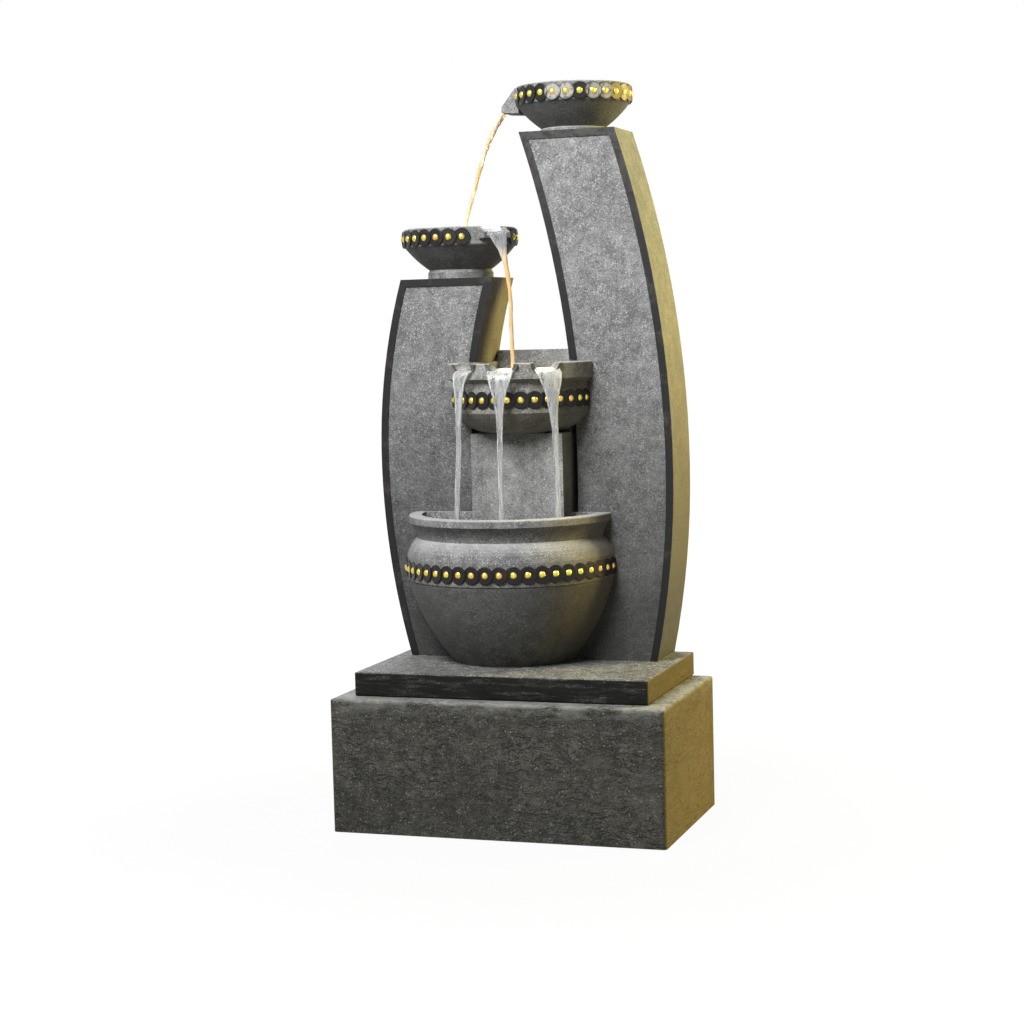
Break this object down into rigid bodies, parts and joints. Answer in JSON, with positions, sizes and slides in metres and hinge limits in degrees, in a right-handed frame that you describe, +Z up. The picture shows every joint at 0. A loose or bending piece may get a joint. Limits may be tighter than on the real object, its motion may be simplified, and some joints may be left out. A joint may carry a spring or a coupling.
{
  "type": "garden fountain",
  "caption": "Free-standing tiered garden fountain: two curved cast columns on a stepped plinth carry three pouring bowls over a half-round basin, with a pump behind a rear door.",
  "frame": {"origin": "middle of the resting face of the plinth, on the ground", "axes": "+Z up, +Y towards the back, with the access door, +X to the right seen from the front"},
  "size_m": [0.566, 0.378, 1.2192],
  "materials": {
    "cast_stone": "cast, speckled and lightly pitted",
    "black_paint": "satin hand-brushed paint",
    "gold_paint": "polished domes with a worn lacquer",
    "black_plastic": "moulded",
    "grey_plastic": "moulded",
    "black_rubber": "smooth",
    "steel": "plated",
    "clear_hose": "clouded flexible vinyl",
    "lamp_lens": "frosted, glowing warm"
  },
  "bodies": {
    "fountain": {"plinth_shell": "cast_stone", "base_tray": "black_plastic", "step_slab": "cast_stone", "tall_column_shell": "cast_stone", "tall_column_back": "cast_stone", "short_column_shell": "cast_stone", "short_column_back": "cast_stone", "column_borders": "black_paint", "centre_pilaster": "cast_stone", "back_web": "cast_stone", "panel_screws": "steel", "top_bowl": "cast_stone", "second_bowl": "cast_stone", "middle_bowl": "cast_stone", "bottom_bowl": "cast_stone", "top_bowl_discs": "black_paint", "second_bowl_discs": "black_paint", "middle_bowl_discs": "black_paint", "bottom_bowl_discs": "black_paint", "top_bowl_studs": "gold_paint", "second_bowl_studs": "gold_paint", "middle_bowl_studs": "gold_paint", "bottom_bowl_studs": "gold_paint", "reservoir_tub": "black_plastic", "drain_spigot": "black_plastic", "return_pipe": "black_plastic", "pump_body": "black_plastic", "impeller_shaft": "steel", "pump_feet": "black_rubber", "riser_hose": "clear_hose", "hose_clamps": "steel", "top_nozzle": "black_plastic", "nozzle_nut": "black_plastic", "second_bowl_bolt": "steel", "second_bowl_nut": "steel", "lamp_bodies": "black_plastic", "lamp_lenses": "lamp_lens", "top_lamp_lead": "black_rubber", "second_lamp_lead": "black_rubber", "middle_lamp_leads": "black_rubber", "pump_lead": "black_rubber", "transformer_box": "black_plastic", "inlet_lead": "black_rubber", "cable_grommet": "black_rubber", "door_seal": "black_rubber", "fixed_hinge_leaves": "steel", "hinge_pins": "steel"},
    "impeller": {"pump_impeller": "grey_plastic"},
    "strainer": {"pump_strainer": "black_plastic"},
    "dial": {"flow_dial": "grey_plastic"},
    "door": {"access_door": "cast_stone", "door_hinge_leaves": "steel", "door_screws": "steel"},
    "latch": {"latch_knob": "black_plastic", "latch_cam": "steel"},
    "plug": {"drain_plug": "black_plastic"},
    "grate": {"drain_grate": "black_plastic"}
  },
  "joints": [
    {"name": "access_door_swing", "type": "hinge", "parent": "fountain", "child": "door", "pos_m": [-0.093, 0.1713, 0.11], "axis": [0, 0, 1], "range_deg": [0, 110]},
    {"name": "door_latch_turn", "type": "hinge", "parent": "door", "child": "latch", "pos_m": [0.07, 0.165, 0.11], "axis": [0, 1, 0], "range_deg": [-90, 0]},
    {"name": "impeller_spin", "type": "hinge", "parent": "fountain", "child": "impeller", "pos_m": [0.032, 0.02, 0.047], "axis": [0, 1, 0], "continuous": true},
    {"name": "strainer_pull", "type": "slide", "parent": "fountain", "child": "strainer", "axis": [0, 1, 0], "range_m": [0, 0.034]},
    {"name": "flow_dial_turn", "type": "hinge", "parent": "strainer", "child": "dial", "pos_m": [0.032, 0.06, 0.047], "axis": [0, 1, 0], "range_deg": [0, 90]},
    {"name": "drain_plug_pull", "type": "slide", "parent": "fountain", "child": "plug", "axis": [0, 1, 0], "range_m": [0, 0.03]},
    {"name": "drain_grate_lift", "type": "slide", "parent": "fountain", "child": "grate", "axis": [0, 0, 1], "range_m": [0, 0.04]}
  ]
}
